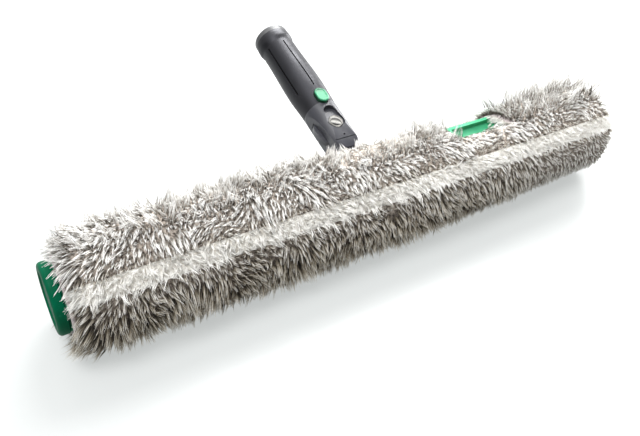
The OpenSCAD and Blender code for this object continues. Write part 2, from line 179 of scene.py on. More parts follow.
class Graph:
    """A node tree that is written as calls: each call adds one node and links it."""

    def __init__(self, tree):
        self.tree = tree

    def node(self, kind, settings=None, inputs=None, output=0):
        made = self.tree.nodes.new(kind)
        for name, value in (settings or {}).items():
            setattr(made, name, value)
        for key, value in (inputs or {}).items():
            self.put(made.inputs[key], value)
        return Socket(self, made.outputs[output])

    def put(self, socket, value):
        if isinstance(value, Socket):
            self.tree.links.new(value.output, socket)
        elif socket.type == "VECTOR" and not isinstance(value, (tuple, list, Vector)):
            socket.default_value = (value, value, value)
        elif socket.type == "RGBA" and len(value) == 3:
            socket.default_value = (*value, 1)
        else:
            socket.default_value = value

    def mix(self, factor, a, b):
        made = self.tree.nodes.new("ShaderNodeMix")
        made.data_type = "RGBA"
        self.put(made.inputs[0], factor)
        self.put(made.inputs[6], a)
        self.put(made.inputs[7], b)
        return Socket(self, made.outputs[2])

    def xyz(self, x, y, z):
        return self.node("ShaderNodeCombineXYZ", {}, {"X": x, "Y": y, "Z": z})

    def place(self):
        return self.node("ShaderNodeTexCoord", {}, {}, "Object")

    def noise(self, vector, scale, detail=2.0, roughness=0.5, output=0):
        return self.node(
            "ShaderNodeTexNoise",
            {},
            {"Vector": vector, "Scale": scale, "Detail": detail, "Roughness": roughness},
            output,
        )

    def attribute(self, name, output="Fac"):
        return self.node("ShaderNodeAttribute", {"attribute_name": name}, {}, output)

    def bump(self, height, strength, distance):
        return self.node(
            "ShaderNodeBump",
            {},
            {"Height": height, "Strength": strength, "Distance": distance},
        )


MATERIALS = {}


def material(name, build, **fixed):
    """A Principled material; build gets the graph and gives the inputs that vary."""
    made = bpy.data.materials.new(name)
    made.use_nodes = True
    graph = Graph(made.node_tree)
    shader = made.node_tree.nodes["Principled BSDF"]
    for key, value in fixed.items():
        graph.put(shader.inputs[key.replace("_", " ")], value)
    for key, value in build(graph).items():
        graph.put(shader.inputs[key], value)
    MATERIALS[name] = made
    return made


def moulded(base, grain, rough, worn=0.12, scale=900):
    """Moulded plastic: fine grain, soft mottling and slightly paler rubbed places."""

    def build(g):
        at = g.place()
        mottle = g.noise(at, 60, 3)
        fine = g.noise(at, scale, 2)
        pale = tuple(min(1, c + worn * (1 - c)) for c in base)
        colour = g.mix(mottle.ramp(0.45, 0.75, 0.0, 0.6), base, pale)
        return {
            "Base Color": colour,
            "Roughness": mottle.ramp(0.3, 0.7, rough - 0.05, rough + 0.07),
            "Normal": g.bump(fine, grain, 0.0002),
        }

    return build


def soft_grip(g):
    """Soft moulded rubber: fine eroded grain and slightly paler patches."""
    at = g.place()
    mottle = g.noise(at, 45, 4)
    grain = g.noise(at, 1500, 2)
    colour = g.mix(mottle.ramp(0.4, 0.8), (0.006, 0.006, 0.007), (0.013, 0.013, 0.0145))
    return {
        "Base Color": colour,
        "Roughness": mottle.ramp(0.3, 0.7, 0.42, 0.55),
        "Normal": g.bump(grain, 0.25, 0.0001),
    }


def cell_plastic(g):
    """Green plastic of the bar: cloudy, with faint flow lines along it."""
    at = g.place()
    cloud = g.noise(at, 40, 3)
    flow = g.noise(at * Vector((0.15, 1, 1)), 260, 2)
    colour = g.mix(cloud.ramp(0.3, 0.75), (0.035, 0.36, 0.17), (0.09, 0.47, 0.25))
    return {
        "Base Color": colour,
        "Roughness": cloud.ramp(0.3, 0.7, 0.3, 0.42),
        "Normal": g.bump(flow, 0.12, 0.0003),
    }


def cap_plastic(g):
    """Dark green plastic of the end plates: fine grain and faint rubbed scratches."""
    at = g.place()
    cloud = g.noise(at, 70, 3)
    scratch = g.noise(at * Vector((1, 9, 1)), 420, 2).ramp(0.62, 0.74)
    colour = g.mix(cloud.ramp(0.35, 0.75, 0.0, 0.7), (0.0, 0.08, 0.036), (0.0, 0.105, 0.05))
    return {
        "Base Color": g.mix(scratch * 0.2, colour, (0.03, 0.2, 0.12)),
        "Roughness": scratch * 0.15 + 0.5,
        "Normal": g.bump(g.noise(at, 1300, 2), 0.12, 0.0001),
    }


# Painted shade on the button: its walls are darker between these depths below its face, and its far
# end over these lengths from the end
BUTTON_WALL_SHADE = (0.75 * MM, 0.3 * MM)
BUTTON_FAR_SHADE = (6 * MM, 1 * MM)


def button_plastic(g):
    """Green push button with painted shade: its walls and the end that falls away are darker than its
    face.
    """
    points = [v.co for v in NODES["lock_button"].data.vertices]
    face = max(p.dot(SQUARE) for p in points)
    end = max(p.dot(ALONG) for p in points)
    at = g.place()
    # Painted shade on the walls and on the far end, which slopes away from the light.
    wall = at.dot(SQUARE).ramp(face - BUTTON_WALL_SHADE[0], face - BUTTON_WALL_SHADE[1], 1.0, 0.0)
    far_end_shade = at.dot(ALONG).ramp(end - BUTTON_FAR_SHADE[0], end - BUTTON_FAR_SHADE[1]) * 0.8
    top = g.mix(far_end_shade, (0.03, 0.26, 0.125), (0.0, 0.09, 0.035))
    return {
        "Base Color": g.mix(wall, top, (0.0, 0.03, 0.012)),
        "Roughness": 0.36,
        "Normal": g.bump(g.noise(at, 900, 2), 0.1, 0.0001),
    }


TURNING_MARKS = 9000


def polished(g):
    """Polished bolt: faint turning marks round its middle."""
    at = g.place() - PIVOT
    flat = at - at.dot(SQUARE) * SQUARE
    rings = (flat.length() * TURNING_MARKS).sine()
    return {
        "Base Color": (0.8, 0.785, 0.75),
        "Roughness": rings.ramp(-1, 1, 0.12, 0.2),
        "Normal": g.bump(rings, 0.04, 0.0001),
    }


def zinc(g):
    """Plated steel of the screws, the nut and the spring: cloudy and half polished."""
    at = g.place()
    cloud = g.noise(at, 800, 3)
    return {
        "Base Color": g.mix(cloud, (0.5, 0.51, 0.53), (0.68, 0.69, 0.7)),
        "Roughness": cloud.ramp(0.2, 0.8, 0.25, 0.42),
        "Normal": g.bump(cloud, 0.1, 0.0001),
    }


def weave(base, shade, pitch=0.0009):
    """Plain weave read from a piece's own UV map, which is in metres."""

    def build(g):
        uv = g.node("ShaderNodeUVMap", {"uv_map": "cloth"}, {})
        turn = math.pi / pitch
        warp = (uv.part("X") * turn).sine()
        weft = (uv.part("Y") * turn).sine()
        thread = (warp * weft).ramp(-0.8, 0.8)
        dirt = g.noise(g.place(), 90, 3)
        colour = g.mix(thread, shade, base)
        return {
            "Base Color": g.mix(dirt.ramp(0.5, 0.8, 0, 0.35), colour, shade),
            "Roughness": 0.9,
            "Normal": g.bump(thread + g.noise(g.place(), 2500, 1) * 0.4, 0.6, 0.0003),
        }

    return build


# Fur colours, from root to tip; the two darker, warmer ones for the side near the floor are painted
# shade, used also beside the stripe
FUR_ROOT = (0.042, 0.034, 0.025)
FUR_MID = (0.262, 0.238, 0.2)
FUR_PALE = (0.79, 0.778, 0.755)
FUR_MID_SHADED = (0.285, 0.237, 0.168)
FUR_PALE_SHADED = (0.75, 0.705, 0.615)
FUR_TIP = (0.97, 0.965, 0.95)
STRIPE_ROOT = (0.86, 0.84, 0.79)
STRIPE_TIP = (0.98, 0.97, 0.94)


def fur_shade(g):
    """Root to tip colour of the grey-brown fur, with strands and locks that differ, and painted shade
    that darkens and warms the side near the floor.
    """
    reach = g.attribute("reach")
    strand = g.attribute("strand")
    lock = g.attribute("lock")
    painted_shade = g.attribute("painted_shade")
    # Painted shade also starts the pale part of each strand further out.
    start = strand * 0.3 - 0.24 + lock * 0.2 + painted_shade * 0.26
    grown = reach - start
    mid = g.mix(painted_shade, FUR_MID, FUR_MID_SHADED)
    pale = g.mix(painted_shade, FUR_PALE, FUR_PALE_SHADED)
    low = g.mix(grown.ramp(0.0, 0.42), FUR_ROOT, mid)
    middle = g.mix(grown.ramp(0.3, 0.68), low, pale)
    return {
        "Base Color": g.mix(grown.ramp(0.6, 0.92), middle, FUR_TIP),
        "Roughness": strand.ramp(0, 1, 0.55, 0.75),
    }


def stripe_shade(g):
    """The pale stripe: off-white nearly to its roots."""
    reach = g.attribute("reach")
    strand = g.attribute("strand")
    colour = g.mix((reach + strand * 0.15).ramp(0.15, 0.75), STRIPE_ROOT, STRIPE_TIP)
    return {"Base Color": colour, "Roughness": strand.ramp(0, 1, 0.6, 0.8)}


def under_shade(base, deep, lit):
    """The dense undercoat at the foot of the fur, with painted light: paler where it lies on top."""

    def build(g):
        at = g.place()
        tuft = g.noise(at, 420, 3, 0.7)
        # Painted light: paler higher up round the sleeve, where light falls from above.
        painted_top_light = at.part("Z").ramp(CENTRE.z - 5 * MM, CENTRE.z + 20 * MM)
        full = g.mix(painted_top_light, base, lit)
        return {
            "Base Color": g.mix(tuft.ramp(0.3, 0.6), deep, full),
            "Roughness": 0.9,
            "Normal": g.bump(tuft, 0.8, 0.002),
        }

    return build


def make_materials():
    material("bar_green", cell_plastic, Coat_Weight=0.15, Coat_Roughness=0.2)
    material("cap_green", cap_plastic, Specular_IOR_Level=0.05)
    material("head_grey", moulded((0.036, 0.037, 0.045), 0.2, 0.36, 0.05))
    material("grip_black", soft_grip, Specular_IOR_Level=0.32, Specular_Tint=(0.88, 0.89, 1, 1))
    material("ring_grey", moulded((0.03, 0.031, 0.034), 0.15, 0.34, 0.08))
    material("button_green", button_plastic, Specular_IOR_Level=0.3)
    material("bolt_chrome", polished, Metallic=1.0)
    material("steel", zinc, Metallic=1.0)
    material("washer_white", moulded((0.75, 0.75, 0.72), 0.1, 0.4, 0.1))
    material("cloth", weave((0.78, 0.76, 0.72), (0.52, 0.49, 0.45)), Sheen_Weight=0.3)
    material("hem_cloth", weave((0.62, 0.55, 0.54), (0.4, 0.34, 0.34), 0.0007), Sheen_Weight=0.3)
    material("hook_cloth", weave((0.7, 0.69, 0.67), (0.4, 0.39, 0.38), 0.0012))
    material("fur", fur_shade)
    material("fur_pale", stripe_shade)
    material("undercoat", under_shade((0.2, 0.165, 0.14), (0.06, 0.046, 0.036), (0.5, 0.44, 0.38)))
    material("undercoat_pale", under_shade((0.82, 0.79, 0.74), (0.6, 0.56, 0.5), (0.85, 0.83, 0.78)))


CAD_FINISH = {
    "bar": "bar_green",
    "end_cap_left": "cap_green",
    "end_cap_right": "cap_green",
    "yoke": "head_grey",
    "yoke_screw_left": "steel",
    "yoke_screw_right": "steel",
    "handle_core": "head_grey",
    "grip": "grip_black",
    "end_ring": "ring_grey",
    "pivot_bolt": "bolt_chrome",
    "pivot_nut": "steel",
    "washer_upper": "washer_white",
    "washer_lower": "washer_white",
    "lock_button": "button_green",
    "button_spring": "steel",
}


def finish_cad_nodes():
    for node, name in CAD_FINISH.items():
        slots = NODES[node].data.materials
        slots.clear()
        slots.append(MATERIALS[name])


def new_piece(name, mesh, finish, replaces, body="base"):
    """A smooth piece with one finish that stands for the named solids."""
    piece = bpy.data.objects.new(name, mesh)
    bpy.context.scene.collection.objects.link(piece)
    mesh.materials.clear()
    mesh.materials.append(MATERIALS[finish])
    mesh.shade_smooth()
    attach(piece, body)
    for node in replaces:
        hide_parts(node)
    return piece


def settled(piece, name):
    """The mesh of a piece with its modifiers worked out."""
    graph = bpy.context.evaluated_depsgraph_get()
    mesh = bpy.data.meshes.new_from_object(piece.evaluated_get(graph))
    mesh.name = name
    bpy.data.objects.remove(piece)
    return mesh


def wobble(x, angle, scale, seed):
    """Smooth noise of about -1 to 1 round the sleeve."""
    at = Vector((x * scale, math.cos(angle) * 2.0 + seed, math.sin(angle) * 2.0))
    return noise.noise(at)


def eased(share):
    """A share held to 0 to 1, with a soft start and a soft end."""
    share = min(1, max(0, share))
    return share * share * (3 - 2 * share)


def sleeve_radius(x, r):
    """Radius of a layer of the sleeve at x: straight, then drawn in towards each end."""
    start = SLEEVE_END - HEM_LEN - DRAW_LEN
    return r - (TUBE_R - DRAW_R - CLOTH_T) * eased((abs(x) - start) / DRAW_LEN)


# The cloth sinks round the slit: most at 95 degrees, and not past these ends and angles
SLIT_SAG = 4.6 * MM
SAG_REACH = 30 * MM
SAG_FROM = 10
SAG_DEEPEST = 95
SAG_TO = 140


def sag(x, angle):
    """How far the cloth sinks round the slit, where the bar's top face leaves it room."""
    away = max(0.0, SLIT_X[0] - x, x - SLIT_X[1]) / SAG_REACH
    turn = math.degrees(angle % math.tau)
    rising = (turn - SAG_FROM) / (SAG_DEEPEST - SAG_FROM)
    falling = (SAG_TO - turn) / (SAG_TO - SAG_DEEPEST)
    return SLIT_SAG * eased(1 - away) * eased(rising) * eased(falling)


def in_slit(x, angle, margin, hem):
    inside_x = SLIT_X[0] - margin < x < SLIT_X[1] + hem + margin
    turn = margin / TUBE_R
    return inside_x and SLIT_ANGLE[0] - turn < angle % math.tau < SLIT_ANGLE[1] + turn


def in_yoke_way(x, angle, more):
    u = TUBE_R * math.cos(angle - HANDLE_TILT)
    v = TUBE_R * math.sin(angle - HANDLE_TILT)
    return abs(x) < YOKE_HALF_W + more and u > 0 and abs(v) < YOKE_HALF_H + more


# Grids of the layers: step along the bar, and faces round the whole sleeve
CLOTH_GRID = (0.0024, 120)
UNDER_GRID = (0.002, 140)
ROOT_GRID = (0.003, 90)

# The undercoat is puckered by two noises, given as waves per metre along the bar
BROAD_PUCKER = 90
FINE_PUCKER = 240


def sleeve_sheet(name, r, x_range, angles, open_at, grid, rough=0.0, seed=0.0):
    """A layer of the sleeve as a grid of faces round the axis, open where open_at says so."""
    x_step, turns = grid
    columns = max(2, round((x_range[1] - x_range[0]) / x_step))
    rows = max(2, round((angles[1] - angles[0]) / math.tau * turns))
    whole = angles[1] - angles[0] > math.tau - 0.001
    ring = rows if whole else rows + 1

    def at_share(ends, share, count):
        return ends[0] + (ends[1] - ends[0]) * share / count

    points = []
    for i in range(columns + 1):
        x = at_share(x_range, i, columns)
        for j in range(ring):
            angle = at_share(angles, j, rows)
            fine = 0.5 * wobble(x, angle * 3, FINE_PUCKER, seed)
            pucker = rough * (wobble(x, angle, BROAD_PUCKER, seed) + fine)
            points.append(round_axis(x, sleeve_radius(x, r) - sag(x, angle) + pucker, angle))
    faces = []
    for i in range(columns):
        x = at_share(x_range, i + 0.5, columns)
        for j in range(rows):
            if open_at(x, at_share(angles, j + 0.5, rows)):
                continue
            a, b = i * ring + j, i * ring + (j + 1) % ring
            faces.append((a, b, b + ring, a + ring))
    mesh = bpy.data.meshes.new(name)
    mesh.from_pydata(points, [], faces)
    unwrap_round(mesh)
    remove_loose(mesh)
    return mesh


def unwrap_round(mesh):
    """UV map in metres: along the bar, and round it."""
    layer = mesh.uv_layers.new(name="cloth")
    for polygon in mesh.polygons:
        middle = polygon.center - CENTRE
        base = math.atan2(middle.z, middle.y)
        for loop in polygon.loop_indices:
            at = mesh.vertices[mesh.loops[loop].vertex_index].co - CENTRE
            turn = math.atan2(at.z, at.y) - base
            turn = (turn + math.pi) % math.tau - math.pi
            layer.data[loop].uv = (at.x, (base + turn) * TUBE_R)


def thickened(mesh, name, thickness, outward):
    """A sheet made into a closed wall of the given thickness."""
    piece = bpy.data.objects.new(name + ".draft", mesh)
    bpy.context.scene.collection.objects.link(piece)
    wall = piece.modifiers.new("wall", "SOLIDIFY")
    wall.thickness = thickness
    wall.offset = 1 if outward else -1
    return settled(piece, name)


def remove_loose(mesh):
    """Takes away the points that an opening leaves without a face."""
    work = bmesh.new()
    work.from_mesh(mesh)
    loose = [v for v in work.verts if not v.link_faces]
    bmesh.ops.delete(work, geom=loose, context="VERTS")
    work.to_mesh(mesh)
    work.free()


def make_backing():
    """The woven tube that carries the fur, with the way for the yoke and the closure slit."""

    def open_at(x, angle):
        return in_slit(x, angle, 0, 0) or in_yoke_way(x, angle, 0)

    end = SLEEVE_END - HEM_LEN
    mesh = sleeve_sheet("backing_cloth", TUBE_R, (-end, end), (0, math.tau), open_at, CLOTH_GRID)
    mesh = thickened(mesh, "backing_cloth", CLOTH_T, False)
    new_piece("backing_cloth", mesh, "cloth", ["backing"])


# Cloth left bare round the openings: for the fur and, wider, for the undercoat
FUR_OFF_SLIT = 0.5 * MM
FUR_OFF_HEM = 1 * MM
UNDER_OFF_SLIT = 3 * MM
UNDER_OFF_HEM = 2 * MM
OFF_YOKE = 0.6 * MM
UNDER_LIFT = 2.2 * MM
UNDER_T = 2.0 * MM
UNDER_PUCKER = 0.5 * MM


def open_for_fur(x, angle):
    return in_slit(x, angle, FUR_OFF_SLIT, FUR_OFF_HEM) or in_yoke_way(x, angle, OFF_YOKE)


def open_under(x, angle):
    return in_slit(x, angle, UNDER_OFF_SLIT, UNDER_OFF_HEM) or in_yoke_way(x, angle, OFF_YOKE)


def make_undercoat():
    """Dense undercoat that hides the cloth between the locks: brown, and pale in the stripe."""
    end = SLEEVE_END - 0.5 * HEM_LEN
    r = TUBE_R + UNDER_LIFT
    spans = (
        ("undercoat_brown", BROWN_ANGLES, "undercoat", "fur", "pile_body"),
        ("undercoat_stripe", STRIPE_ANGLES, "undercoat_pale", "fur_pale", "pile_stripe"),
    )
    for name, angles, finish, slot, node in spans:
        mesh = sleeve_sheet(name, r, (-end, end), angles, open_under, UNDER_GRID, UNDER_PUCKER, 3.0)
        mesh = thickened(mesh, name, UNDER_T, False)
        new_piece(name, mesh, finish, [node])


# Fur beside the slit is short, leans away from its left and front edges, and hides the hem
SLIT_NEAR = 13 * MM
STRIPE_NEAR = 8 * MM

# Leans of the locks, as shares of a strand's length
UPWARD = Vector((0, 0, 1))
DOWNWARD = Vector((0, 0, -1))
COMBED = Vector((-1, 0, 0))
SWEPT_LEFT = Vector((-0.2, 0, 0))
SWEPT_FORWARD = Vector((0, -0.45, 0))
FLARED = Vector((0.42, 0, 0))
LEFT_OF_SLIT = Vector((-1.0, 0, 0))
BEFORE_SLIT = Vector((-0.1, -1.1, -0.2))
RIGHT_OF_SLIT = Vector((-1.1, -0.1, 0.1))
WAVE_SHARES = Vector((0.65, 1, 1))
LEFT_END = -SLEEVE_END

# Each random draw adds its own number to the seed of the stretch of fur
DRAW_LOCKS, DRAW_STRAY, DRAW_TALL, DRAW_TONE = 11, 21, 31, 41
DRAW_ROOTS, DRAW_STRAND, DRAW_OWN, DRAW_SIZE, DRAW_HOLD = 51, 61, 71, 81, 91
ANY_WAY = (Vector((-1, -1, -1)), Vector((1, 1, 1)))
NUMBER = "FLOAT"
VECTOR = "FLOAT_VECTOR"


def turn_round(at):
    """Angle of a point round the bar's axis, from the back up over the top."""
    back = at.part("Y") - CENTRE.y
    up = at.part("Z") - CENTRE.z
    return up.turn_from(back)


def beside_slit(g, at):
    """Nearness to the slit, 0 to 1, and the shares at its left, in front and at its right."""
    x = at.part("X")
    angle = turn_round(at)
    off_x = (SLIT_X[0] - x).most(x - SLIT_X[1]).most(0.0)
    off_turn = (SLIT_ANGLE[0] - angle).most(angle - SLIT_ANGLE[1]).most(0.0) * TUBE_R
    near = g.xyz(off_x, off_turn, 0.0).length().ramp(1 * MM, SLIT_NEAR, 1.0, 0.0)
    left = x.ramp(SLIT_X[0] - 1 * MM, SLIT_X[0] + 5 * MM, 1.0, 0.0)
    right = x.ramp(SLIT_X[1], SLIT_X[1] + 8 * MM)
    front = angle.ramp(SLIT_ANGLE[1] - 0.1, SLIT_ANGLE[1] + 0.05) * (1.0 - left) * (1.0 - right)
    return near, left, front, right


def beside_stripe(at):
    """Nearness to the pale stripe round the sleeve, 0 to 1."""
    angle = turn_round(at)
    off = (STRIPE_HIGH - angle).most(angle - STRIPE_LOW).most(0.0) * TUBE_R
    return off.ramp(0.5 * MM, STRIPE_NEAR, 1.0, 0.0)


class FurGraph(Graph):
    """The node group that grows fur on a sheet, with the group's inputs by name."""

    def __init__(self, tree):
        super().__init__(tree)
        face = tree.interface
        face.new_socket(name="Geometry", in_out="OUTPUT", socket_type="NodeSocketGeometry")
        face.new_socket(name="Geometry", in_out="INPUT", socket_type="NodeSocketGeometry")
        for name, kind in FUR_INPUTS:
            face.new_socket(name=name, in_out="INPUT", socket_type=kind)
        entry = tree.nodes.new("NodeGroupInput")
        self.given = {s.name: Socket(self, s) for s in entry.outputs if s.name}

    def scatter(self, density, draw):
        """Points strewn on the sheet, and the sheet's normal at each."""
        made = self.tree.nodes.new("GeometryNodeDistributePointsOnFaces")
        self.put(made.inputs["Mesh"], self.given["Geometry"])
        self.put(made.inputs["Density"], density)
        self.put(made.inputs["Seed"], self.given["Seed"] + draw)
        return Socket(self, made.outputs["Points"]), Socket(self, made.outputs["Normal"])

    def random(self, low, high, draw, kind=NUMBER):
        made = self.tree.nodes.new("FunctionNodeRandomValue")
        made.data_type = kind
        first, output = (0, 0) if kind == VECTOR else (2, 1)
        self.put(made.inputs[first], low)
        self.put(made.inputs[first + 1], high)
        self.put(made.inputs["Seed"], self.given["Seed"] + draw)
        return Socket(self, made.outputs[output])

    def store(self, geometry, name, what, kind=NUMBER):
        return self.node(
            "GeometryNodeStoreNamedAttribute",
            {"data_type": kind},
            {"Geometry": geometry, "Name": name, "Value": what},
        )

    def named(self, name, kind=NUMBER):
        return self.node("GeometryNodeInputNamedAttribute", {"data_type": kind}, {"Name": name})


def lock_lean(g, here, normal, top, low_side, slit, edge):
    """Which way each lock leans, and how much, as a share of its length."""
    given = g.given
    x = here.part("X")
    wave = g.noise(here, given["Wave Scale"], 1, 0.5, "Color")
    wave = (wave - Vector((0.5, 0.5, 0.5))) * 2.0
    stray = g.random(*ANY_WAY, DRAW_STRAY, VECTOR)
    droop = top.ramp(-0.5, 0.75, 1.0, 0.5) * DOWNWARD
    off_end = x.ramp(LEFT_END + 8 * MM, LEFT_END + 60 * MM)
    sweep = top.ramp(0.25, 0.8) * (off_end * SWEPT_LEFT + SWEPT_FORWARD)
    near_end = x.ramp(given["Comb From"], given["Comb To"], 0.0, 1.0)
    comb = near_end * top.ramp(0.1, 0.6) * COMBED
    lean = wave * WAVE_SHARES * given["Wave"] + stray * given["Stray"]
    lean = lean + droop * given["Droop"] + comb * given["Comb"]
    lean = lean + sweep * given["Sweep"]
    lean = lean - normal * lean.dot(normal) * 0.8
    near, at_left, in_front, at_right = slit
    lean = lean * (1.0 - near * 0.7)
    lean = lean + near * at_left * LEFT_OF_SLIT
    lean = lean + near * in_front * BEFORE_SLIT
    lean = lean + near * at_right * RIGHT_OF_SLIT
    # The fur stands out past the sleeve at both ends, and lies flatter next to the stripe
    flare = x.ramp(SLEEVE_END - 26 * MM, SLEEVE_END - 6 * MM)
    at_plate = x.ramp(LEFT_END + 4 * MM, LEFT_END + 30 * MM, 1.0, 0.0)
    flare = flare - at_plate * (low_side * 1.1 + 0.5)
    lean = lean + flare * FLARED
    return lean * (1.0 - edge * 0.4)


def lock_height(g, here, radial, top, low_side, slit, edge):
    """How long the strands of each lock are, as a share of the fur's length."""
    x = here.part("X")
    near, at_left, in_front, at_right = slit
    tall = g.random(0.72, 1.18, DRAW_TALL) * top.ramp(0.2, 1.0, 1.0, g.given["Top Length"])
    tall = tall * (1.0 - near * (in_front * 0.72 + at_left * 0.5 - at_right * 0.45))
    # Shorter next to the handle, next to the stripe and at the left plate
    beside_neck = x.absolute().ramp(18 * MM, 46 * MM, 1.0, 0.0)
    tall = tall * (1.0 - beside_neck * radial.dot(ALONG).ramp(0.15, 0.5) * 0.5)
    tall = tall * (1.0 - edge * 0.2)
    tall = tall * x.ramp(LEFT_END + 5 * MM, LEFT_END + 30 * MM, 0.9, 1.0)
    # Worn shorter towards the right end, most of all below
    worn = x.ramp(20 * MM, 200 * MM) * g.given["Worn"]
    return tall * (1.0 - worn * (low_side * 0.35 + 0.25))


def plant_locks(g, here):
    """Lock centres on the sheet, each with its lean, its height, its tone and its share of painted
    shade.
    """
    locks, normal = g.scatter(g.given["Locks"], DRAW_LOCKS)
    radial = (here - g.xyz(here.part("X"), CENTRE.y, CENTRE.z)).unit()
    top = radial.dot(UPWARD)
    low_side = top.ramp(-0.1, 0.55, 1.0, 0.0)
    slit = beside_slit(g, here)
    edge = beside_stripe(here) * g.given["Edge"]
    lean = lock_lean(g, here, normal, top, low_side, slit, edge)
    tall = lock_height(g, here, radial, top, low_side, slit, edge)
    # Painted shade: darker and warmer fur on the side near the floor, less of it towards the right
    # end, and beside the stripe.
    below = top.ramp(-0.05, 0.55, 1.0, 0.0) * here.part("X").ramp(40 * MM, 200 * MM, 1.0, 0.3)
    locks = g.store(locks, "lean", lean, VECTOR)
    locks = g.store(locks, "up", normal, VECTOR)
    locks = g.store(locks, "tall", tall)
    locks = g.store(locks, "tone", g.random(0.0, 1.0, DRAW_TONE))
    return g.store(locks, "below", below.most(edge * 0.7))


def plant_roots(g, here, locks):
    """Roots of the strands, each with what it takes from its lock and what is its own."""
    roots, normal = g.scatter(g.given["Strands"], DRAW_ROOTS)
    nearest = g.node("GeometryNodeSampleNearest", {}, {"Geometry": locks, "Sample Position": here})
    roots = g.store(roots, "root", here, VECTOR)
    roots = g.store(roots, "grow", normal, VECTOR)
    taken = (
        ("lock_root", here, VECTOR),
        ("lock_grow", g.named("up", VECTOR), VECTOR),
        ("lock_lean", g.named("lean", VECTOR), VECTOR),
        ("lock_tall", g.named("tall"), NUMBER),
        ("lock", g.named("tone"), NUMBER),
        ("painted_shade", g.named("below"), NUMBER),
    )
    for name, what, kind in taken:
        inputs = {"Geometry": locks, "Value": what, "Index": nearest}
        sampled = g.node("GeometryNodeSampleIndex", {"data_type": kind}, inputs)
        roots = g.store(roots, name, sampled, kind)
    clump = g.given["Clump"]
    roots = g.store(roots, "strand", g.random(0.0, 1.0, DRAW_STRAND))
    roots = g.store(roots, "own", g.random(*ANY_WAY, DRAW_OWN, VECTOR), VECTOR)
    roots = g.store(roots, "size", g.random(0.7, 1.12, DRAW_SIZE))
    return g.store(roots, "hold", g.random(clump - 0.3, clump + 0.12, DRAW_HOLD))


STRAND_POINTS = 4
STRAND_SIDES = 3
FLOOR_CLEAR = 0.3 * MM
FLOOR_SPREAD = 1.2 * MM


def grow_strands(g, roots):
    """Strands on the roots: each bends with its lock, thins to its tip and clears the floor."""
    given = g.given
    line = g.node(
        "GeometryNodeCurvePrimitiveLine", {}, {"Start": Vector((0, 0, 0)), "End": Vector((0, 0, MM))}
    )
    line = g.node("GeometryNodeResampleCurve", {}, {"Curve": line, "Count": STRAND_POINTS})
    strands = g.node("GeometryNodeInstanceOnPoints", {}, {"Points": roots, "Instance": line})
    strands = g.node("GeometryNodeRealizeInstances", {}, {"Geometry": strands})
    t = g.node("GeometryNodeSplineParameter")
    length = given["Length"] * g.named("lock_tall") * g.named("size")
    lean = g.named("lock_lean", VECTOR)
    own = lean + g.named("own", VECTOR) * given["Loose"]

    def path(root, grow, bend):
        rise = t * (1.0 - t * 0.22)
        return g.named(root, VECTOR) + (g.named(grow, VECTOR) * rise + bend * t * t) * length

    single = path("root", "grow", own)
    shared = path("lock_root", "lock_grow", lean)
    hold = g.named("hold") * t.ramp(0.05, 0.95)
    at = single + (shared - single) * hold
    floor = g.named("strand") * FLOOR_SPREAD + FLOOR_CLEAR
    at = g.xyz(at.part("X"), at.part("Y"), at.part("Z").most(floor))
    strands = g.node("GeometryNodeSetPosition", {}, {"Geometry": strands, "Position": at})
    strands = g.store(strands, "reach", t)
    ring = g.node("GeometryNodeCurvePrimitiveCircle", {}, {"Resolution": STRAND_SIDES, "Radius": 1.0})
    thin = given["Thickness"] * (1.0 - t * t * 0.8)
    made = g.node(
        "GeometryNodeCurveToMesh",
        {},
        {"Curve": strands, "Profile Curve": ring, "Scale": thin, "Fill Caps": True},
    )
    made = g.node("GeometryNodeRealizeInstances", {}, {"Geometry": made})
    return g.node("GeometryNodeSetMaterial", {}, {"Geometry": made, "Material": given["Material"]})


def fur_tree():
    """Node group for fur: each strand leans with its lock, and the locks lean together."""
    tree = bpy.data.node_groups.new("fur", "GeometryNodeTree")
    g = FurGraph(tree)
    here = g.node("GeometryNodeInputPosition")
    roots = plant_roots(g, here, plant_locks(g, here))
    leave = tree.nodes.new("NodeGroupOutput")
    g.put(leave.inputs[0], grow_strands(g, roots))
    return tree


FUR_INPUTS = (
    ("Strands", "NodeSocketFloat"),
    ("Locks", "NodeSocketFloat"),
    ("Length", "NodeSocketFloat"),
    ("Top Length", "NodeSocketFloat"),
    ("Thickness", "NodeSocketFloat"),
    ("Clump", "NodeSocketFloat"),
    ("Loose", "NodeSocketFloat"),
    ("Wave", "NodeSocketFloat"),
    ("Wave Scale", "NodeSocketFloat"),
    ("Stray", "NodeSocketFloat"),
    ("Droop", "NodeSocketFloat"),
    ("Sweep", "NodeSocketFloat"),
    ("Comb", "NodeSocketFloat"),
    ("Comb From", "NodeSocketFloat"),
    ("Comb To", "NodeSocketFloat"),
    ("Worn", "NodeSocketFloat"),
    ("Edge", "NodeSocketFloat"),
    ("Seed", "NodeSocketInt"),
    ("Material", "NodeSocketMaterial"),
)
PER_SQUARE_MM = 1e6

# Grey-brown fur of the sleeve: strands and locks for each square, lengths, and shares
BODY_FUR = {
    "Strands": 0.82 * PER_SQUARE_MM,
    "Locks": 0.17 * PER_SQUARE_MM,
    "Length": 11.0 * MM,
    "Top Length": 0.85,
    "Thickness": 0.25 * MM,
    "Clump": 0.9,
    "Loose": 0.3,
    "Wave": 1.3,
    "Wave Scale": 42.0,
    "Stray": 0.22,
    "Droop": 0.65,
    "Sweep": 1.0,
    "Comb": 0.35,
    "Comb From": -150 * MM,
    "Comb To": -200 * MM,
    "Worn": 1.0,
    "Edge": 1.0,
}
# Pale fur of the stripe: denser, shorter and less wavy
STRIPE_FUR = dict(
    BODY_FUR,
    Strands=1.25 * PER_SQUARE_MM,
    Locks=0.22 * PER_SQUARE_MM,
    Length=9.0 * MM,
    Clump=0.8,
    Loose=0.45,
    Wave=0.5,
    Stray=0.45,
    Droop=0.4,
    Sweep=0.2,
    Edge=0.0,
)
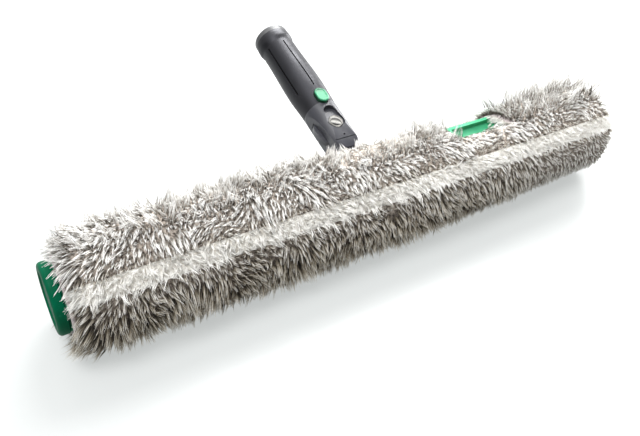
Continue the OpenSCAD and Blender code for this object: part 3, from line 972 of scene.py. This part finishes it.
# Long loose wisps that stand out of the fur between these angles, on its upper side
WISP_ANGLES = (HANDLE_TILT + math.radians(23), math.radians(114))
WISPS = dict(
    BODY_FUR,
    Strands=0.2 * PER_SQUARE_MM,
    Locks=0.022 * PER_SQUARE_MM,
    Length=19 * MM,
    Thickness=0.22 * MM,
    Wave=0.7,
    Stray=0.4,
    Droop=-0.9,
    Sweep=0.0,
    Worn=-1.5,
)
# Pale tufts on the folded hem that hang over the slit's end
SLIT_TUFTS = dict(
    STRIPE_FUR,
    Strands=2.2 * PER_SQUARE_MM,
    Locks=0.2 * PER_SQUARE_MM,
    Length=8 * MM,
    Wave=1.2,
    Droop=0.6,
    Sweep=0.6,
    Worn=0.0,
)
FUR_PIECES = 9
FUR_LIFT = 0.4 * MM

# What the fur's nodes leave on a mesh that no material reads
WORKING_VALUES = (
    "root", "grow", "own", "lock_root", "lock_grow", "lock_lean", "lock_tall", "size", "hold",
)


def grow_fur(name, sheet, tree, sizes, seed, finish, node):
    """One stretch of fur as a plain mesh, grown on a sheet that is then dropped."""
    piece = bpy.data.objects.new(name + ".draft", sheet)
    bpy.context.scene.collection.objects.link(piece)
    growth = piece.modifiers.new("fur", "NODES")
    growth.node_group = tree
    given = dict(sizes, Seed=seed, Material=MATERIALS[finish])
    for item in tree.interface.items_tree:
        if item.in_out == "INPUT" and item.name in given:
            growth[item.identifier] = given[item.name]
    mesh = settled(piece, name)
    for spare in WORKING_VALUES:
        if spare in mesh.attributes:
            mesh.attributes.remove(mesh.attributes[spare])
    new_piece(name, mesh, finish, [node])


# The sheet in the slit's right end: it starts past the slit's low corner and gets wider
EDGE_ROWS = 30
EDGE_IN = 0.3 * MM
EDGE_LIFT = 1 * MM
EDGE_START = math.radians(16)
EDGE_NARROW = 1
EDGE_WIDER = 6
EDGE_WIDENS_AT = 52
EDGE_WIDENS_OVER = 16


def slit_edge():
    """Sheet that stands in the slit's right end and faces left, where pale tufts hang in."""
    x = SLIT_X[1] + EDGE_IN
    start = SLIT_ANGLE[0] + EDGE_START
    points, faces = [], []
    for i in range(EDGE_ROWS + 1):
        angle = start + (SLIT_ANGLE[1] - SLIT_ANGLE[0] - EDGE_START) * i / EDGE_ROWS
        outer = TUBE_R + EDGE_LIFT - sag(x, angle)
        wider = eased((math.degrees(angle) - EDGE_WIDENS_AT) / EDGE_WIDENS_OVER)
        inner = outer - (EDGE_NARROW + EDGE_WIDER * wider) * MM
        points += [round_axis(x, inner, angle), round_axis(x, outer, angle)]
        if i:
            faces.append((2 * i - 2, 2 * i - 1, 2 * i + 1, 2 * i))
    mesh = bpy.data.meshes.new("fur_slit")
    mesh.from_pydata(points, [], faces)
    if mesh.polygons[0].normal.x > 0:
        mesh.flip_normals()
    return mesh


def make_fur():
    """The fur in its stretches, the pale stripe, the tufts in the slit and the loose wisps."""
    tree = fur_tree()
    r = TUBE_R + FUR_LIFT
    end = SLEEVE_END - HEM_LEN
    whole = (-end, end)

    def root_sheet(name, span, angles):
        return sleeve_sheet(name, r, span, angles, open_for_fur, ROOT_GRID)

    step = 2 * end / FUR_PIECES
    for i in range(FUR_PIECES):
        name = f"fur_{i + 1}"
        sheet = root_sheet(name, (-end + i * step, -end + (i + 1) * step), BROWN_ANGLES)
        grow_fur(name, sheet, tree, BODY_FUR, 100 + i, "fur", "pile_body")
    sheet = root_sheet("fur_stripe", whole, STRIPE_ANGLES)
    grow_fur("fur_stripe", sheet, tree, STRIPE_FUR, 7, "fur_pale", "pile_stripe")
    grow_fur("fur_slit", slit_edge(), tree, SLIT_TUFTS, 17, "fur_pale", "slit_hem")
    sheet = root_sheet("fur_wisps", whole, WISP_ANGLES)
    grow_fur("fur_wisps", sheet, tree, WISPS, 31, "fur", "pile_body")


# The rolled hem: points round its section, steps round the sleeve, and its gathers
HEM_POINTS = 14
HEM_STEPS = 240
HEM_PUCKER = 0.35 * MM
HEM_GATHERS = 40
HEM_BOXY = 0.7


def hem_ring(name, profile, x_sign):
    """A closed ring round the bar's axis; the profile is a loop of (x, radius, gather)."""
    points = []
    for j in range(HEM_STEPS):
        angle = math.tau * j / HEM_STEPS
        fold = HEM_PUCKER * math.sin(HEM_GATHERS * angle + 1.3 * math.sin(5 * angle))
        for x, r, share in profile:
            points.append(round_axis(x_sign * x, r + fold * share, angle))
    n = len(profile)
    faces = []
    for j in range(HEM_STEPS):
        k = (j + 1) % HEM_STEPS
        for i in range(n):
            a, b = j * n + i, j * n + (i + 1) % n
            c, d = k * n + (i + 1) % n, k * n + i
            faces.append((a, b, c, d) if x_sign > 0 else (a, d, c, b))
    mesh = bpy.data.meshes.new(name)
    mesh.from_pydata(points, [], faces)
    unwrap_round(mesh)
    work = bmesh.new()
    work.from_mesh(mesh)
    bmesh.ops.recalc_face_normals(work, faces=work.faces)
    work.to_mesh(mesh)
    work.free()
    return mesh


def make_hems():
    """Bound ends of the sleeve: a rolled hem, gathered round the end plate."""
    r0, r1 = DRAW_R - CLOTH_T + 0.2 * MM, DRAW_R + 2.6 * MM
    x0, x1 = SLEEVE_END - HEM_LEN, SLEEVE_END - 0.1 * MM
    middle_x, middle_r = (x0 + x1) / 2, (r0 + r1) / 2

    def boxy(value):
        return math.copysign(abs(value) ** HEM_BOXY, value)

    profile = []
    for i in range(HEM_POINTS):
        a = math.tau * i / HEM_POINTS
        x = middle_x + (x1 - x0) / 2 * boxy(math.cos(a))
        r = middle_r + (r1 - r0) / 2 * boxy(math.sin(a))
        profile.append((x, r, 0.5 + 0.5 * math.sin(a)))
    for side, sign in (("left", -1), ("right", 1)):
        mesh = hem_ring(f"hem_roll_{side}", profile, sign)
        new_piece(f"hem_roll_{side}", mesh, "hem_cloth", [f"hem_{side}"])


# Faces of a patch along the bar and round it, and the ripple that it has between its edges
PATCH_COLS = 24
PATCH_ROWS = 40
PATCH_RIPPLE = 0.25 * MM
PATCH_WAVES = 160


def curved_patch(name, r, x_range, angles, thickness, finish, node, bulge=0.0):
    """A small sheet lying round the tube, with a soft swell over its width and rounded edges."""
    points = []
    for i in range(PATCH_COLS + 1):
        s = i / PATCH_COLS
        x = x_range[0] + (x_range[1] - x_range[0]) * s
        swell = bulge * math.sin(math.pi * s) ** 0.6 if 0 < s < 1 else 0
        for j in range(PATCH_ROWS + 1):
            t = j / PATCH_ROWS
            angle = angles[0] + (angles[1] - angles[0]) * t
            edge = math.sin(math.pi * t) ** 0.3 if 0 < t < 1 else 0
            ripple = PATCH_RIPPLE * wobble(x, angle * 4, PATCH_WAVES, 9.0)
            lift = (swell + ripple * s * (1 - s) * 4) * edge - sag(x, angle)
            points.append(round_axis(x, r + lift, angle))
    faces = []
    for i in range(PATCH_COLS):
        for j in range(PATCH_ROWS):
            a = i * (PATCH_ROWS + 1) + j
            faces.append((a, a + 1, a + PATCH_ROWS + 2, a + PATCH_ROWS + 1))
    mesh = bpy.data.meshes.new(name)
    mesh.from_pydata(points, [], faces)
    unwrap_round(mesh)
    mesh = thickened(mesh, name, thickness, True)
    new_piece(name, mesh, finish, [node])


STRIP_X = (26.5 * MM, 64 * MM)
STRIP_ANGLE = (HANDLE_TILT + math.radians(36), HANDLE_TILT + math.radians(58))
STRIP_T = 0.5 * MM
LOOP_R = TUBE_R + 0.1 * MM
HOOK_R = TUBE_R + 0.8 * MM
FOLD_X = SLIT_X[1] + 0.1 * MM
FOLD_T = 0.9 * MM
FOLD_BULGE = 0.2 * MM


def make_closure():
    """The folded hem at the slit's end and the two strips of the closure."""
    span = (SLIT_ANGLE[0] - math.radians(2), SLIT_ANGLE[1] + math.radians(2))
    fold = (FOLD_X, FOLD_X + SLIT_HEM_W - 0.6 * MM)
    curved_patch("slit_fold", LOOP_R, fold, span, FOLD_T, "hem_cloth", "slit_hem", FOLD_BULGE)
    curved_patch("loop_patch", LOOP_R, STRIP_X, STRIP_ANGLE, STRIP_T, "cloth", "loop_strip")
    curved_patch("hook_patch", HOOK_R, STRIP_X, STRIP_ANGLE, STRIP_T, "hook_cloth", "hook_strip")


def declare_cloth():
    """Works out the sizes that the sleeve's sheets are cut to, and does nothing more with them."""
    tube = (math.tau * TUBE_R, 2 * (SLEEVE_END - HEM_LEN))
    slit = (SLIT_X[1] - SLIT_X[0]) * (SLIT_ANGLE[1] - SLIT_ANGLE[0]) * TUBE_R
    area = tube[0] * tube[1] - slit - 4 * YOKE_HALF_W * YOKE_HALF_H
    strip = ((STRIP_ANGLE[1] - STRIP_ANGLE[0]) * TUBE_R, STRIP_X[1] - STRIP_X[0])


# Stage: a flat pale floor, soft surroundings and three round lights
FLOOR_HALF = 3.0
FLOOR_CORNERS = [(-1, -1), (1, -1), (1, 1), (-1, 1)]


def floor_finish(g):
    """Pale floor with an even colour."""
    return {"Base Color": (0.23, 0.234, 0.234), "Roughness": 0.25}


def make_stage():
    mesh = bpy.data.meshes.new("floor")
    corners = [(FLOOR_HALF * x, FLOOR_HALF * y, 0) for x, y in FLOOR_CORNERS]
    mesh.from_pydata(corners, [], [(0, 1, 2, 3)])
    floor = bpy.data.objects.new("floor", mesh)
    bpy.context.scene.collection.objects.link(floor)
    white = material(
        "floor_white", floor_finish, Specular_IOR_Level=0.3,
        Emission_Color=(0.96, 1.0, 0.99), Emission_Strength=0.5,
    )
    mesh.materials.append(white)


# Each light's place, the point that it shines at, its width and its power
LIGHTS = {
    "key": ((0.5, 0.7, 1.0), (0, 0, 0), 0.9, 40),
    "top": ((-0.5, -0.25, 1.4), (0, 0, 0.03), 0.9, 22),
    "side": ((1.2, 0.3, 0.3), (0, 0, 0.03), 0.6, 15),
}


def soft_light(name, at, target, size, power):
    data = bpy.data.lights.new(name, "AREA")
    data.shape = "DISK"
    data.size = size
    data.energy = power
    light = bpy.data.objects.new(name, data)
    light.location = at
    light.rotation_euler = (Vector(target) - Vector(at)).to_track_quat("-Z", "Y").to_euler()
    bpy.context.scene.collection.objects.link(light)
    return light


def make_lights():
    """Three soft lights; the key and the top light leave the bolt's head out."""
    mirrored = bpy.data.collections.new("mirrored")
    mirrored.objects.link(NODES["pivot_bolt"])
    mirrored.collection_objects[0].light_linking.link_state = "EXCLUDE"
    for name, numbers in LIGHTS.items():
        light = soft_light(name, *numbers)
        if name != "side":
            light.light_linking.receiver_collection = mirrored


# The surroundings are brightest towards BRIGHT_SIDE. Round BOLT_GLANCE, which the bolt
# mirrors towards the camera, a curved band and a spot are dark, so that its head has shape.
# BOLT_UP and BOLT_SIDE are about square to it, and both are placed along these two.
BRIGHT_SIDE = (0.62, 0.45, 0.64)
BOLT_GLANCE = (0.45, 0.12, 0.88)
BOLT_UP = (0.31, 0.918, -0.247)
BOLT_SIDE = (0.844, -0.385, -0.372)
BAND_CURVE = 0.7
BAND_RISE = (0.12, 0.16)
BAND_FALL = (0.32, 0.36)
SPOT_RISE = (-0.62, -0.56)
SPOT_FALL = (-0.1, -0.05)
SPOT_LEFT = (-0.45, -0.38)
SPOT_RIGHT = (0.32, 0.4)
DARKENED = 0.97


def make_surroundings():
    world = bpy.data.worlds.new("studio")
    world.use_nodes = True
    g = Graph(world.node_tree)
    toward = g.node("ShaderNodeTexCoord", {}, {}, "Generated").unit()
    side = toward.dot(Vector(BRIGHT_SIDE)).ramp(-0.5, 0.9, 0.14, 1.34)
    glance = toward.dot(Vector(BOLT_GLANCE).normalized()).ramp(0.66, 0.76)
    up, across = toward.dot(Vector(BOLT_UP)), toward.dot(Vector(BOLT_SIDE))
    arc = up + across * across * BAND_CURVE
    band = arc.ramp(*BAND_RISE) * arc.ramp(*BAND_FALL, 1.0, 0.0)
    spot = up.ramp(*SPOT_RISE) * up.ramp(*SPOT_FALL, 1.0, 0.0)
    spot = spot * across.ramp(*SPOT_LEFT) * across.ramp(*SPOT_RIGHT, 1.0, 0.0)
    flag = 1.0 - glance * band.most(spot) * DARKENED
    background = world.node_tree.nodes["Background"]
    background.inputs["Color"].default_value = (1, 1, 1, 1)
    g.put(background.inputs["Strength"], side * flag)
    bpy.context.scene.world = world
    bpy.context.scene.view_settings.view_transform = "Standard"


add_camera()
make_materials()
finish_cad_nodes()
make_backing()
make_undercoat()
make_fur()
make_hems()
make_closure()
declare_cloth()
make_stage()
make_lights()
make_surroundings()
